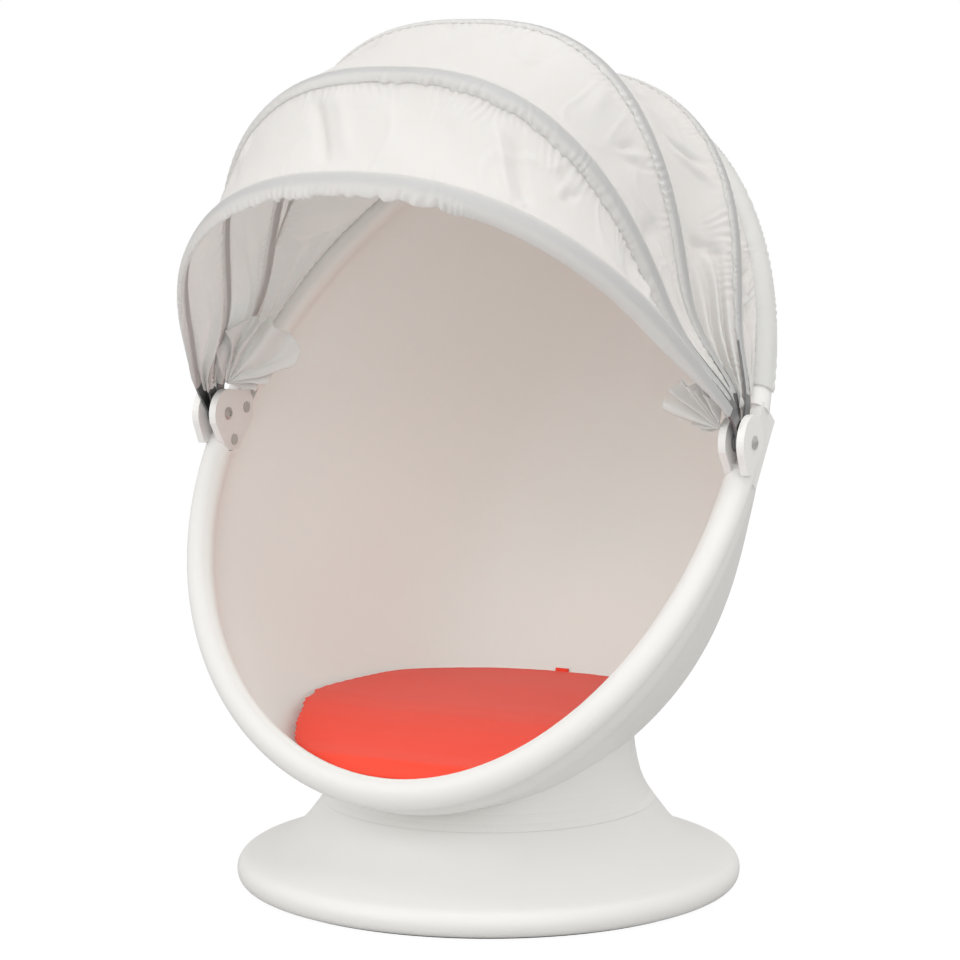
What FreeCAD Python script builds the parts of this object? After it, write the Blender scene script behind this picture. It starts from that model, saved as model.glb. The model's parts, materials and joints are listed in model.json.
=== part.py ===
import FreeCAD, Part
import math
import os

os.makedirs("parts", exist_ok=True)

Vec = FreeCAD.Vector

# Rim of the seat bucket: an egg outline on a leaning, slightly bowed plane
rimHalfWidth = 290.8
rimHalfLength = 403.1
rimTopExtra = 12.4
rimTaper = 0.081
rimSquare = 0.029
rimCentreY = -19.8
rimCentreZ = 450.6
rimLean = math.radians(37.8)
rimBow = 19.9
rimTwist = -3.5
rollWidth = 27.0
rollDepth = 26.0
rollCentreDepth = 5.0

# Bucket behind the rim
bucketDepth = 343.0
bucketWall = 5.0
widthPower = 0.616
widthPinch = -0.188
lengthPower = 0.717
lengthPinch = -0.117
poleLift = 15.0
creaseInset = 10.5
creaseDepth = 20.0
innerInset = 17.5
innerDepth = 24.0

# Pedestal
discRadius = 245.5
groundGap = 2.0
seamRadius = 162.0
seamHeight = 82.0
cupFloorTop = 45.0
cupFloorBottom = 40.0
seamBevel = 5.4
swivelGap = 0.4
seamDrop = swivelGap * math.sqrt(2)

# Swivel bearing
plateThick = 2.5
plateRadius = 118.0
ballRadius = 4.0
ballCircle = 85.0
ballCount = 18
spindleRadius = 8.0
spindleClearance = 0.06
raceGap = 0.3

# Seat floor and pad
floorTop = 143.0
floorThick = 4.0
floorSetback = 20.0
padTop = 178.0
padFit = 3.0
padLip = 7.5
pieceGap = 0.4
softGap = 0.3
tabX = -8.0
tabWidth = 14.0
tabHeight = 3.6
tabThick = 1.6
tabInset = 4.5

# Hood pivots and brackets
pivotY = -42.5
pivotZ = 448.0
slotInset = 16.5
slotWidth = 11.4
bracketThick = 7.3
innerScrewRadius = 2.0
pivotScrewRadius = 3.5
pivotClearance = 0.05
eyeRadius = 9.5
eyeThick = 2.3
eyeGap = 0.55
eyeSpace = 0.4
slotInner = rimHalfWidth - slotInset
slotOuter = slotInner + slotWidth
sideReach = rimHalfWidth + 30.0


def eyeHalf(place):
    """Distance from the middle to the middle of an eye, counted inwards in the bracket slot."""
    return slotOuter - eyeGap - eyeThick / 2 - place * (eyeThick + eyeSpace)


# Hood bows: angle from upright towards the front, reach, leg spacing, squareness, leg draw-in
stripThick = 2.0
stripWidth = 12.0
sleeveThick = 5.0
sleeveWidth = 22.0
sleeveStart = 92.0
sleeveSpread = math.radians(4.4)
legStraight = 27.0
legBlend = 62.0
legTop = 104.0
clothThick = 1.2
clothGap = 1.2
frontBow = {"angle": 44.4, "reach": 338.9, "half": eyeHalf(0), "power": 2.24, "draw": 13.0}
secondBow = {"angle": 25.2, "reach": 372.3, "half": eyeHalf(2), "power": 2.54, "draw": 41.0}
thirdBow = {"angle": -0.6, "reach": 382.5, "half": eyeHalf(3), "power": 2.68, "draw": 48.5}
rearBow = {"angle": -19.2, "reach": 357.0, "half": eyeHalf(1), "power": 3.03, "draw": 20.5}


def export(name, shape):
    shape.exportStep("parts/" + name + ".step")


def place(x, along, depth):
    """Point of the leaning rim frame in the chair's frame."""
    y = rimCentreY + along * math.sin(rimLean) + depth * math.cos(rimLean)
    z = rimCentreZ + along * math.cos(rimLean) - depth * math.sin(rimLean)
    return Vec(x, y, z)


def rimBend(along):
    return rimBow * (along / 300.0) ** 2 + rimTwist * (along / 300.0) ** 3


def outline(theta, inset):
    s = math.sin(theta)
    x = (rimHalfWidth - inset) * math.cos(theta) * (1 - rimTaper * s - rimSquare * s * s)
    along = (rimHalfLength + rimTopExtra * s - inset) * s
    return x, along


def rimPoint(theta, inset, depth):
    x, along = outline(theta, inset)
    return place(x, along, depth + rimBend(along))


def rollPoint(theta, turn, lift):
    """Point of the rolled rim's round section, from its outermost line over the front."""
    a = math.radians(turn)
    inset = rollWidth / 2 - (rollWidth / 2 + lift) * math.cos(a)
    depth = rollCentreDepth - (rollDepth / 2 + lift) * math.sin(a)
    return rimPoint(theta, inset, depth)


def domePoint(theta, phi, wall):
    x, along = outline(theta, wall)
    c = math.cos(phi)
    x *= c ** widthPower * (1 + widthPinch * math.sin(2 * phi))
    along *= c ** lengthPower * (1 + lengthPinch * math.sin(2 * phi))
    fade = max(0.0, 1 - (phi / 1.2) ** 2)
    depth = (bucketDepth - wall) * math.sin(phi) + rimBend(along) * fade
    return place(x, along + poleLift * math.sin(phi) ** 2, depth)


def around(count):
    return [2 * math.pi * i / count - math.pi / 2 for i in range(count)]


def gridFace(rows, closed=True):
    if closed:
        rows = [r + [r[0]] for r in rows]
    surface = Part.BSplineSurface()
    surface.interpolate(rows)
    return surface


def sewn(faces):
    skin = Part.makeShell(faces)
    skin.sewShape()
    body = Part.Solid(skin)
    if body.Volume < 0:
        body.reverse()
    return body


def capped(rows):
    """Solid whose side runs through closed rows of points, with a flat cap at each end."""
    side = gridFace(rows)
    caps = [Part.Face(Part.Wire([side.uIso(end).toShape()])) for end in side.bounds()[:2]]
    return sewn([side.toShape()] + caps)


def domeRows(wall):
    """Rings of the bucket's wall from behind the rim to its deepest point."""
    rings = (6.2, 11, 18, 26, 34, 43, 52, 61, 70, 79, 87)
    return [[domePoint(t, math.radians(ring), wall) for t in around(40)] for ring in rings]


def bucketFill(wall, reach=60.0):
    """Filled bucket space, carried straight forward of the rim."""
    mouth = [[place(*outline(t, wall), -d) for t in around(40)] for d in (reach, reach / 2)]
    return capped(mouth + domeRows(wall))


def insideFill(gap, reach=20.0):
    """Space inside the rolled rim and the bucket, less a gap all round."""
    thetas = around(40)
    rows = [[place(*outline(t, rollWidth + gap), -reach) for t in thetas]]
    rows += [[rollPoint(t, turn, gap) for t in thetas] for turn in (180, 214)]
    rows.append([rimPoint(t, innerInset + gap, innerDepth + gap) for t in thetas])
    return capped(rows + domeRows(bucketWall + gap))


def bucketSkin():
    """One closed skin: outside of the bucket, crease, rolled rim, inside of the bucket."""
    thetas = around(40)
    rows = domeRows(0)[::-1]
    rows.append([rimPoint(t, creaseInset, creaseDepth) for t in thetas])
    rows += [[rollPoint(t, turn, 0) for t in thetas] for turn in (-55, -15, 25, 65, 105, 145, 185, 214)]
    rows.append([rimPoint(t, innerInset, innerDepth) for t in thetas])
    return capped(rows + domeRows(bucketWall))


def turned(points, curved=()):
    """Solid turned about the upright axis from a closed outline of (radius, height) points."""
    pts = [Vec(r, 0, z) for r, z in points]
    edges = []
    i = 0
    while i < len(pts):
        stop = i + 1
        for a, b in curved:
            if a == i:
                stop = b
        if stop > i + 1:
            curve = Part.BSplineCurve()
            curve.interpolate(pts[i:stop + 1])
            edges.append(curve.toShape())
        else:
            edges.append(Part.makeLine(pts[i], pts[stop % len(pts)]))
        i = stop
    face = Part.Face(Part.Wire(edges))
    return face.revolve(Vec(0, 0, 0), Vec(0, 0, 1), 360)


def ring(inner, outer, low, high):
    body = Part.makeCylinder(outer, high - low, Vec(0, 0, low))
    if inner > 0:
        body = body.cut(Part.makeCylinder(inner, high - low + 2, Vec(0, 0, low - 1)))
    return body


def polar(radius, degrees, z):
    a = math.radians(degrees)
    return Vec(radius * math.cos(a), radius * math.sin(a), z)


def slab(outer, inner):
    """Thin closed sheet between two matching grids of points."""
    top = gridFace(outer, False)
    low = gridFace(inner, False)
    u0, u1, v0, v1 = top.bounds()
    a0, a1, b0, b1 = low.bounds()
    sides = []
    for t, l in ((u0, a0), (u1, a1)):
        sides.append(Part.makeRuledSurface(top.uIso(t).toShape(), low.uIso(l).toShape()))
    for t, l in ((v0, b0), (v1, b1)):
        sides.append(Part.makeRuledSurface(top.vIso(t).toShape(), low.vIso(l).toShape()))
    return sewn([top.toShape(), low.toShape()] + sides)


def rimBox(x0, x1, along0, along1, depth0, depth1):
    """Box in the leaning rim frame, on the +X side."""
    box = Part.makeBox(x1 - x0, along1 - along0, depth1 - depth0)
    base = place(x0, along0, depth0)
    xAxis = Vec(1, 0, 0)
    up = Vec(0, math.sin(rimLean), math.cos(rimLean))
    back = Vec(0, math.cos(rimLean), -math.sin(rimLean))
    matrix = FreeCAD.Matrix(
        xAxis.x, up.x, back.x, base.x,
        xAxis.y, up.y, back.y, base.y,
        xAxis.z, up.z, back.z, base.z,
        0, 0, 0, 1)
    box.transformShape(matrix)
    return box


def sideways(points, x0, x1):
    """Plate with an outline of (y, z) points, between two widths."""
    pts = [Vec(x0, y, z) for y, z in points]
    face = Part.Face(Part.makePolygon(pts + [pts[0]]))
    return face.extrude(Vec(x1 - x0, 0, 0))


def mirrored(shape):
    return shape.mirror(Vec(0, 0, 0), Vec(1, 0, 0))


def acrossX(radius, x0, x1, y, z):
    return Part.makeCylinder(radius, x1 - x0, Vec(x0, y, z), Vec(1, 0, 0))


# Pedestal and swivel

def pedestal():
    skin = [(0, 4), (214, 4), (214, groundGap), (discRadius - 8, groundGap), (discRadius - 2.5, 5), (discRadius, 11),
            (discRadius - 0.8, 19), (discRadius - 6, 25.5), (231, 28.8), (217, 33), (202, 40), (188, 50),
            (177, 61.5), (168, 73.5), (seamRadius, seamHeight - seamDrop)]
    top = seamHeight + seamBevel - seamDrop
    tail = [(seamRadius - seamBevel, top), (151.5, top), (148, cupFloorTop + 6), (144, cupFloorTop), (0, cupFloorTop)]
    body = turned(skin + tail, [(3, 14)])
    hollow = [(26, -1), (212, -1), (212, 8), (236, 8), (240, 12), (239, 19), (226, 24.5), (209, 31), (190, 43),
              (175, 58), (163, 72.5), (155.5, 74), (152, cupFloorTop), (148, cupFloorBottom), (26, cupFloorBottom)]
    space = turned(hollow)
    body = body.cut(space)
    well = ring(0, 20, -1, cupFloorBottom)
    body = body.cut(well)
    ribs = []
    for k in range(8):
        rib = Part.makeBox(220, 4, 80, Vec(22, -2, 6))
        rib.rotate(Vec(0, 0, 0), Vec(0, 0, 1), 22.5 + 45 * k)
        ribs.append(rib.common(space))
    body = body.multiFuse(ribs)
    body = body.cut(ring(0, 12.0, 30, cupFloorTop + 1))
    for k in range(4):
        body = body.cut(Part.makeCylinder(3.2, 20, polar(108, 90 * k, 30)))
    return body.removeSplitter()


def footRing():
    """Rubber ring under the pedestal's edge."""
    return ring(discRadius - 27.5, discRadius - 12.5, 0, groundGap)


def lowerPlate():
    low = cupFloorTop
    top = low + plateThick
    plate = ring(62, plateRadius, low, top)
    plate = plate.fuse(ring(75, 77.6, top - 0.5, top + 2.2)).fuse(ring(92.4, 95, top - 0.5, top + 2.2))
    for k in range(4):
        plate = plate.cut(Part.makeCylinder(3.2, 20, polar(108, 90 * k, low - 5)))
    return plate


def lowerScrew(k):
    top = cupFloorTop + plateThick
    head = Part.makeCylinder(5, 3.6, polar(108, 90 * k, top))
    shank = Part.makeCylinder(3, top - cupFloorBottom + 5, polar(108, 90 * k, cupFloorBottom - 5))
    socket = Part.makeCylinder(2, 3, polar(108, 90 * k, top + 1.8))
    nut = Part.makeCylinder(5.5, 4.6, polar(108, 90 * k, cupFloorBottom - 4.6))
    return head.fuse(shank).fuse(nut).cut(socket)


def ballRace():
    """Balls held in a flat cage, one moulding of cage and balls."""
    centre = cupFloorTop + plateThick + ballRadius
    cage = ring(ballCircle - 6, ballCircle + 6, centre - 1.6, centre + 1.6)
    balls = [Part.makeSphere(ballRadius, polar(ballCircle, 360.0 * k / ballCount, centre)) for k in range(ballCount)]
    return cage.multiFuse(balls)


upperLow = cupFloorTop + plateThick + 2 * ballRadius + raceGap
bossLow = upperLow + plateThick


def upperPlate():
    plate = ring(spindleRadius + 0.05, plateRadius - 8, upperLow, bossLow)
    for k in range(4):
        plate = plate.cut(Part.makeCylinder(3.2, 20, polar(100, 90 * k + 45, upperLow - 5)))
    return plate


def upperScrew(k):
    head = Part.makeCylinder(4.8, 3.2, polar(100, 90 * k + 45, upperLow - 3.2))
    shank = Part.makeCylinder(3, 15, polar(100, 90 * k + 45, upperLow - 0.5))
    socket = Part.makeCylinder(2, 1.8, polar(100, 90 * k + 45, upperLow - 3.3))
    return head.fuse(shank).cut(socket)


def bush():
    body = ring(spindleRadius + spindleClearance, 12.0, cupFloorBottom - 0.6, cupFloorTop + 1)
    return body.fuse(ring(spindleRadius + spindleClearance, 18, cupFloorTop, cupFloorTop + 2))


def spindle():
    head = ring(0, 16, bossLow, bossLow + 6)
    shank = ring(0, spindleRadius, 29, bossLow + 1)
    return head.fuse(shank)


def lockNut():
    washer = ring(spindleRadius, 17, 37.2, 39.0)
    nut = ring(spindleRadius, 12.5, 30.5, 37.2)
    for k in range(6):
        flat = Part.makeBox(6, 40, 7, Vec(11.0, -20, 30.4))
        flat.rotate(Vec(0, 0, 0), Vec(0, 0, 1), 60 * k)
        nut = nut.cut(flat)
    return washer.fuse(nut)


# Seat bucket

def collar():
    """Flared skirt under the bucket that meets the pedestal in one line."""
    outside = [(seamRadius, seamHeight), (157.3, 88.5), (152.5, 97), (148.6, 107), (145.5, 119), (143, 133),
               (141.5, 148), (141, 165), (141, 240)]
    inside = [(136, 240), (136, 165), (136.5, 148), (138, 133), (140.5, 119), (143.8, 107), (148, 97), (153.5, 91),
              (seamRadius - seamBevel, seamHeight + seamBevel)]
    return turned(outside + inside)


def bucket():
    body = bucketSkin()
    trim = bucketFill(bucketWall * 0.5)
    skirt = collar().cut(trim)
    boss = ring(88, 112, bossLow, 200)
    web = []
    for k in range(8):
        web.append(Part.makeBox(30, 4, 140, Vec(110, -2, 92)))
        web[-1].rotate(Vec(0, 0, 0), Vec(0, 0, 1), 45 * k)
    boss = boss.multiFuse(web).cut(trim)
    body = body.multiFuse([skirt, boss])
    for k in range(4):
        body = body.cut(Part.makeCylinder(3.0, 13.5, polar(100, 90 * k + 45, bossLow - 1)))
    return body


def bracketSeats(body):
    """Notches in the roll at both hood brackets, with a flat web left between the plates."""
    web = rimBox(slotInner, slotOuter, -38, 36, -4.0, 30.0)
    notch = rimBox(rimHalfWidth - rollWidth - 1.8, sideReach, -34, 32, -14.0, 19.0)
    inner = sideways(innerOutline(pieceGap), slotInner - 20, slotInner)
    outer = sideways(outerOutline(pieceGap), slotOuter, sideReach)
    screws = []
    for y, z in innerScrewSpots:
        screws.append(acrossX(innerScrewRadius, slotInner - 1, slotInner + 8, y, z))
    for side in (lambda s: s, mirrored):
        body = body.cut(side(notch)).fuse(side(web)).cut(side(inner)).cut(side(outer))
        for s in screws:
            body = body.cut(side(s))
    return body


def arcPoints(radius, start, stop, count):
    pts = []
    for i in range(count + 1):
        a = math.radians(start + (stop - start) * i / count)
        pts.append((pivotY - radius * math.sin(a), pivotZ + radius * math.cos(a)))
    return pts


innerScrewSpots = [(pivotY + 35, pivotZ + 3), (pivotY + 11, pivotZ - 27)]


def innerOutline(grow):
    r = 24.0 + grow
    pts = arcPoints(r, -10, 110, 14)
    pts += [(pivotY - 2 - grow, pivotZ - 37 - grow), (pivotY + 20 + grow, pivotZ - 37 - grow)]
    pts += [(pivotY + 48 + grow, pivotZ - 8 - grow * 0.5), (pivotY + 48 + grow, pivotZ + 12 + grow)]
    pts += [(pivotY + 40 + grow, pivotZ + 20 + grow)]
    return pts


def outerOutline(grow):
    r = 25.5 + grow
    pts = arcPoints(r, -28, 112, 14)
    pts += [(pivotY - 14 - grow * 0.6, pivotZ - 29 - grow), (pivotY - 4 + grow * 0.5, pivotZ - 29 - grow)]
    pts += [(pivotY + 22 + grow, pivotZ - 6), (pivotY + 22 + grow, pivotZ + 12 + grow * 0.5)]
    return pts


def innerPlate():
    plate = sideways(innerOutline(0), slotInner - bracketThick, slotInner)
    plate = plate.cut(acrossX(pivotScrewRadius + 0.02, 0, sideReach, pivotY, pivotZ))
    for y, z in innerScrewSpots:
        plate = plate.cut(acrossX(innerScrewRadius + 0.25, 0, sideReach, y, z))
    return plate


def outerPlate():
    plate = sideways(outerOutline(0), slotOuter, slotOuter + bracketThick)
    return plate.cut(acrossX(pivotScrewRadius + 0.02, 0, sideReach, pivotY, pivotZ))


def domedHead(radius, height, x, y, z, outward):
    tip = x + height * outward
    head = Part.makeCylinder(radius, height * 0.45, Vec(min(x, x + height * 0.45 * outward), y, z), Vec(1, 0, 0))
    bulge = (radius * radius + (height * 0.6) ** 2) / (2 * height * 0.6)
    ball = Part.makeSphere(bulge, Vec(tip - bulge * outward, y, z))
    block = Part.makeCylinder(radius, height, Vec(min(x, tip), y, z), Vec(1, 0, 0))
    socket = Part.makeCylinder(radius * 0.42, height * 0.6, Vec(tip - height * 0.5 * (1 + outward), y, z), Vec(1, 0, 0))
    return head.fuse(ball.common(block)).cut(socket)


def pivotScrew():
    low = slotInner - bracketThick
    high = slotOuter + bracketThick
    shank = acrossX(pivotScrewRadius, low - 0.5, high + 0.5, pivotY, pivotZ)
    outerHead = domedHead(6.2, 3.4, high, pivotY, pivotZ, 1)
    innerHead = domedHead(6.2, 3.2, low, pivotY, pivotZ, -1)
    return shank.fuse(outerHead).fuse(innerHead)


def innerScrew(k):
    y, z = innerScrewSpots[k]
    low = slotInner - bracketThick
    shank = acrossX(innerScrewRadius, low - 0.5, slotInner + 7.5, y, z)
    return shank.fuse(domedHead(5.4, 3.0, low, y, z, -1))


def insideOf(gap, profile):
    """Solid that fills the bucket inside, trimmed by an outline of (y, z) points."""
    return insideFill(gap).common(sideways(profile, -sideReach, sideReach))


def rimInside():
    """Front of the space behind the rolled rim, on the middle line."""
    return rollPoint(-math.pi / 2, 214, 0).y


def seatFloor():
    low = floorTop - floorThick
    front = rimInside() + floorSetback
    profile = [(front, floorTop), (front, low), (bucketDepth, low), (bucketDepth, floorTop)]
    return insideOf(pieceGap, profile)


def seatPad():
    """Flat pad whose front slopes down and hangs over the floor's edge, behind the rim."""
    low = floorTop + 2.2
    front = rimInside() + 1.5
    back = rimInside() + floorSetback - 3.0
    profile = [(front, floorTop - padLip), (back, floorTop - padLip), (back, low), (bucketDepth, low)]
    profile += [(bucketDepth, padTop), (-48, padTop), (-82, padTop - 2.5), (-112, padTop - 8)]
    profile += [(-140, padTop - 15), (-165, padTop - 23), (-186, padTop - 31), (front, padTop - 38)]
    return insideOf(padFit, profile)


def backWall(height):
    """Where the bucket's inside meets a height behind the pad, on the middle line."""
    low, high = 0.8, 1.52
    for _ in range(40):
        middle = (low + high) / 2
        if domePoint(-math.pi / 2, middle, bucketWall).z < height:
            low = middle
        else:
            high = middle
    return domePoint(-math.pi / 2, low, bucketWall).y


def padTab():
    """Folded pull tab that stands on the pad's back edge."""
    y = backWall(padTop) - padFit - tabInset
    return Part.makeBox(tabWidth, tabThick, tabHeight, Vec(tabX - tabWidth / 2, y, padTop + softGap))


def padFastener(k):
    return Part.makeCylinder(16, 1.8, Vec((-80, 80, 0)[k], (-60, -60, 90)[k], floorTop))


# Hood

def bowPoint(bow, theta):
    """Place across and reach above the pivots on a bow's centre line."""
    s = abs(math.sin(theta))
    c = math.cos(theta)
    reach = bow["reach"] * s ** (2 / bow["power"])
    beyond = max(0.0, reach - legStraight)
    half = bow["half"] - bow["draw"] * (1 - math.exp(-(beyond / legBlend) ** 2))
    x = half * math.copysign(abs(c) ** (2 / bow["power"]), c)
    return x, reach


def turnAt(bow, reach):
    return math.asin((reach / bow["reach"]) ** (bow["power"] / 2))


def bowTurns(bow, start, count):
    """Turns along a bow from one leg to the other: evenly up the legs, then evenly over the top."""
    steps = max(1, round((legTop - start) / 12))
    leg = [turnAt(bow, start + (legTop - start) * i / steps) for i in range(steps)]
    low = turnAt(bow, legTop)
    top = [low + (math.pi - 2 * low) * i / count for i in range(count + 1)]
    return leg + top + [math.pi - t for t in reversed(leg)]


def bowNormal(bow, theta):
    step = 0.004
    a = bowPoint(bow, max(theta - step, 0.0))
    b = bowPoint(bow, min(theta + step, math.pi))
    dx, dr = b[0] - a[0], b[1] - a[1]
    size = math.hypot(dx, dr)
    return dr / size, -dx / size


def bowLine(bow, start, offset, count=26):
    pts = []
    for t in bowTurns(bow, start, count):
        x, r = bowPoint(bow, t)
        nx, nr = bowNormal(bow, t)
        pts.append(Vec(x + nx * offset, pivotY, pivotZ + r + nr * offset))
    return pts


def bowBand(bow, start, thick, width, count=26):
    """Band that follows a bow, before it is turned to the bow's angle."""
    edges = []
    ends = []
    for offset in (thick / 2, -thick / 2):
        pts = bowLine(bow, start, offset, count)
        curve = Part.BSplineCurve()
        curve.interpolate(pts)
        knots = curve.getKnots()
        edges += [curve.toShape(a, b) for a, b in zip(knots, knots[1:])]
        ends.append((pts[0], pts[-1]))
    edges.append(Part.makeLine(ends[0][0], ends[1][0]))
    edges.append(Part.makeLine(ends[0][1], ends[1][1]))
    face = Part.Face(Part.Wire(Part.__sortEdges__(edges)))
    face.translate(Vec(0, -width / 2, 0))
    return face.extrude(Vec(0, width, 0))


def atAngle(shape, bow):
    shape.rotate(Vec(0, pivotY, pivotZ), Vec(1, 0, 0), bow["angle"])
    return shape


def strip(bow):
    body = bowBand(bow, 0, stripThick, stripWidth)
    for side in (-1, 1):
        x = bow["half"] * side - eyeThick / 2
        body = body.fuse(acrossX(eyeRadius, x, x + eyeThick, pivotY, pivotZ))
    hole = acrossX(pivotScrewRadius + pivotClearance, -sideReach, sideReach, pivotY, pivotZ)
    return atAngle(body.cut(hole), bow)


def sleeve(bow):
    body = bowBand(bow, sleeveStart, sleeveThick, sleeveWidth, 22)
    tunnel = bowBand(bow, sleeveStart - 6, stripThick + 2 * pieceGap, stripWidth + 2 * pieceGap, 22)
    reach = 500.0
    half = reach * math.tan(sleeveSpread)
    wedge = sideways([(pivotY, pivotZ), (pivotY - half, pivotZ + reach), (pivotY + half, pivotZ + reach)], -sideReach, sideReach)
    return atAngle(body.common(wedge).cut(tunnel), bow)


def worldOf(bow, theta, forward, lift):
    """Point near a bow: forward along the hood's travel, lift off its outer face."""
    x, r = bowPoint(bow, theta)
    nx, nr = bowNormal(bow, theta)
    x += nx * lift
    r += nr * lift
    a = math.radians(bow["angle"])
    y = pivotY - r * math.sin(a) - forward * math.cos(a)
    z = pivotZ + r * math.cos(a) - forward * math.sin(a)
    return Vec(x, y, z)


def panelEdge(bow, theta, side):
    x, r = bowPoint(bow, theta)
    away = min(sleeveWidth / 2, max(stripWidth / 2, r * math.tan(sleeveSpread))) + clothGap
    return worldOf(bow, theta, away * side, 0.8)


def stretched(edges, sag):
    """Sheet between two edges, drawn in towards the middle of the hood half way."""
    steps = 4
    centre = Vec(0, pivotY, pivotZ)
    grids = []
    for thick in (0.0, clothThick):
        rows = []
        for a, b in edges:
            row = []
            for j in range(steps + 1):
                p = a + (b - a) * (j / steps)
                out = p - centre
                pull = -sag * math.sin(math.pi * j / steps) * out.Length
                out.normalize()
                row.append(p + out * (pull - thick))
            rows.append(row)
        grids.append(rows)
    return slab(grids[0], grids[1])


def panel(back, front, start=54.0, sag=0.03):
    """Cloth between two bows, drawn slightly inwards half way."""
    turns = zip(bowTurns(back, start, 16), bowTurns(front, start, 16))
    return stretched([(panelEdge(back, s, 1), panelEdge(front, t, -1)) for s, t in turns], sag)


hemLow = math.radians(10.5)


def hem():
    """Elastic edge of the hood, seated on the outer half of the rolled rim."""
    thetas = [hemLow + (math.pi - 2 * hemLow) * i / 26 for i in range(27)]
    turns = [-6 + 96 * j / 6 for j in range(7)]
    outer = [[rollPoint(t, a, pieceGap + 1.5) for a in turns] for t in thetas]
    inner = [[rollPoint(t, a, pieceGap) for a in turns] for t in thetas]
    return slab(outer, inner)


def rearPanel():
    """Cloth from the elastic edge to the rear bow."""
    turns = bowTurns(rearBow, 54.0, 16)
    edges = []
    for t in turns:
        share = (t - turns[0]) / (turns[-1] - turns[0])
        theta = hemLow + (math.pi - 2 * hemLow) * share
        edges.append((rollPoint(theta, 94, pieceGap + 1.2), panelEdge(rearBow, t, -1)))
    return stretched(edges, 0.02)


export("pedestal", pedestal())
export("pedestal_foot_ring", footRing())
export("swivel_lower_plate", lowerPlate())
for k in range(4):
    export("swivel_lower_screw_%d" % (k + 1), lowerScrew(k))
export("swivel_ball_race", ballRace())
export("swivel_bush", bush())
export("swivel_upper_plate", upperPlate())
for k in range(4):
    export("swivel_upper_screw_%d" % (k + 1), upperScrew(k))
export("swivel_spindle", spindle())
export("swivel_lock_nut", lockNut())

export("seat_bucket", bracketSeats(bucket()))
export("seat_floor", seatFloor())
export("seat_pad", seatPad())
export("seat_pad_tab", padTab())
for k in range(3):
    export("pad_fastener_%d" % (k + 1), padFastener(k))

for word, side in (("right", lambda s: s), ("left", mirrored)):
    export("bracket_inner_" + word, side(innerPlate()))
    export("bracket_outer_" + word, side(outerPlate()))
    export("bracket_pivot_" + word, side(pivotScrew()))
    for k in range(2):
        export("bracket_screw_%s_%d" % (word, k + 1), side(innerScrew(k)))

for word, bow in (("rear", rearBow), ("third", thirdBow), ("second", secondBow), ("front", frontBow)):
    export("bow_" + word, strip(bow))
    export("sleeve_" + word, sleeve(bow))
export("hood_hem", hem())
export("hood_panel_rear", rearPanel())
export("hood_panel_third", panel(rearBow, thirdBow))
export("hood_panel_second", panel(thirdBow, secondBow))
export("hood_panel_front", panel(secondBow, frontBow))
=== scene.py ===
import json
import math
import bmesh
import bpy
import numpy as np
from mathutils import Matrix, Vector


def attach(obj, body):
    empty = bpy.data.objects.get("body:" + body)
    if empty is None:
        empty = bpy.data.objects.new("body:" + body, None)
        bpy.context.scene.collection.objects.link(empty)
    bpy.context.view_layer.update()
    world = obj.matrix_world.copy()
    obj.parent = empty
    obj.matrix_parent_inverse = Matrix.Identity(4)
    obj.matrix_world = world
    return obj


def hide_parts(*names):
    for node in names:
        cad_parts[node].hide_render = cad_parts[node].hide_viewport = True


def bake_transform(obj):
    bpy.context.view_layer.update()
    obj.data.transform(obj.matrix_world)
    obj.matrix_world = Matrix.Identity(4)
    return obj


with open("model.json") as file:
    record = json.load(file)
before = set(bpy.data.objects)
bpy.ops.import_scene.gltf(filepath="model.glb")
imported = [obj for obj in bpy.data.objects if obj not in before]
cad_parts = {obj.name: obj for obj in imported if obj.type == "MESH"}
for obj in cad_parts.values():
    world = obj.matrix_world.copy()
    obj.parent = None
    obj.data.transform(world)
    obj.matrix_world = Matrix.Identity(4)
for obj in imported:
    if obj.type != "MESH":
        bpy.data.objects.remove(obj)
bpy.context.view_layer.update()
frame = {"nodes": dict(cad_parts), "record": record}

nodes = frame["nodes"]
mm = 0.001
print("frame loaded:", len(nodes), "nodes")


# Small helpers

def softNoise(u, v, cellsU, cellsV, seed):
    # Smooth random height between -1 and 1: random values on a lattice, eased between the four nearest
    rng = np.random.default_rng(seed)
    lattice = rng.uniform(-1, 1, (cellsU + 3, cellsV + 3))
    a = np.clip(u, 0, 1) * cellsU
    b = np.clip(v, 0, 1) * cellsV
    i, j = np.floor(a).astype(int), np.floor(b).astype(int)
    s, t = a - i, b - j
    s, t = s * s * (3 - 2 * s), t * t * (3 - 2 * t)
    low = lattice[i, j] * (1 - s) + lattice[i + 1, j] * s
    high = lattice[i, j + 1] * (1 - s) + lattice[i + 1, j + 1] * s
    return low * (1 - t) + high * t


def eased(x, low, high):
    t = np.clip((x - low) / (high - low), 0, 1)
    return t * t * (3 - 2 * t)


def unit(a):
    return a / np.maximum(np.linalg.norm(a, axis=-1, keepdims=True), 1e-12)


def gridNormals(points):
    # Normal of each grid point: the cross product of the two directions along the grid
    du = np.gradient(points, axis=0)
    dv = np.gradient(points, axis=1)
    return unit(np.cross(du, dv))


def coordinates(mesh):
    # A mesh's vertex positions in millimetres
    flat = np.empty(len(mesh.vertices) * 3, dtype=np.float32)
    mesh.vertices.foreach_get("co", flat)
    return flat.reshape(-1, 3).astype(float) / mm


def setCoordinates(mesh, points):
    mesh.vertices.foreach_set("co", (points * mm).astype(np.float32).ravel())


def shadeSmooth(mesh):
    mesh.polygons.foreach_set("use_smooth", np.ones(len(mesh.polygons), dtype=bool))


def linked(thing):
    bpy.context.scene.collection.objects.link(thing)
    return thing


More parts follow.
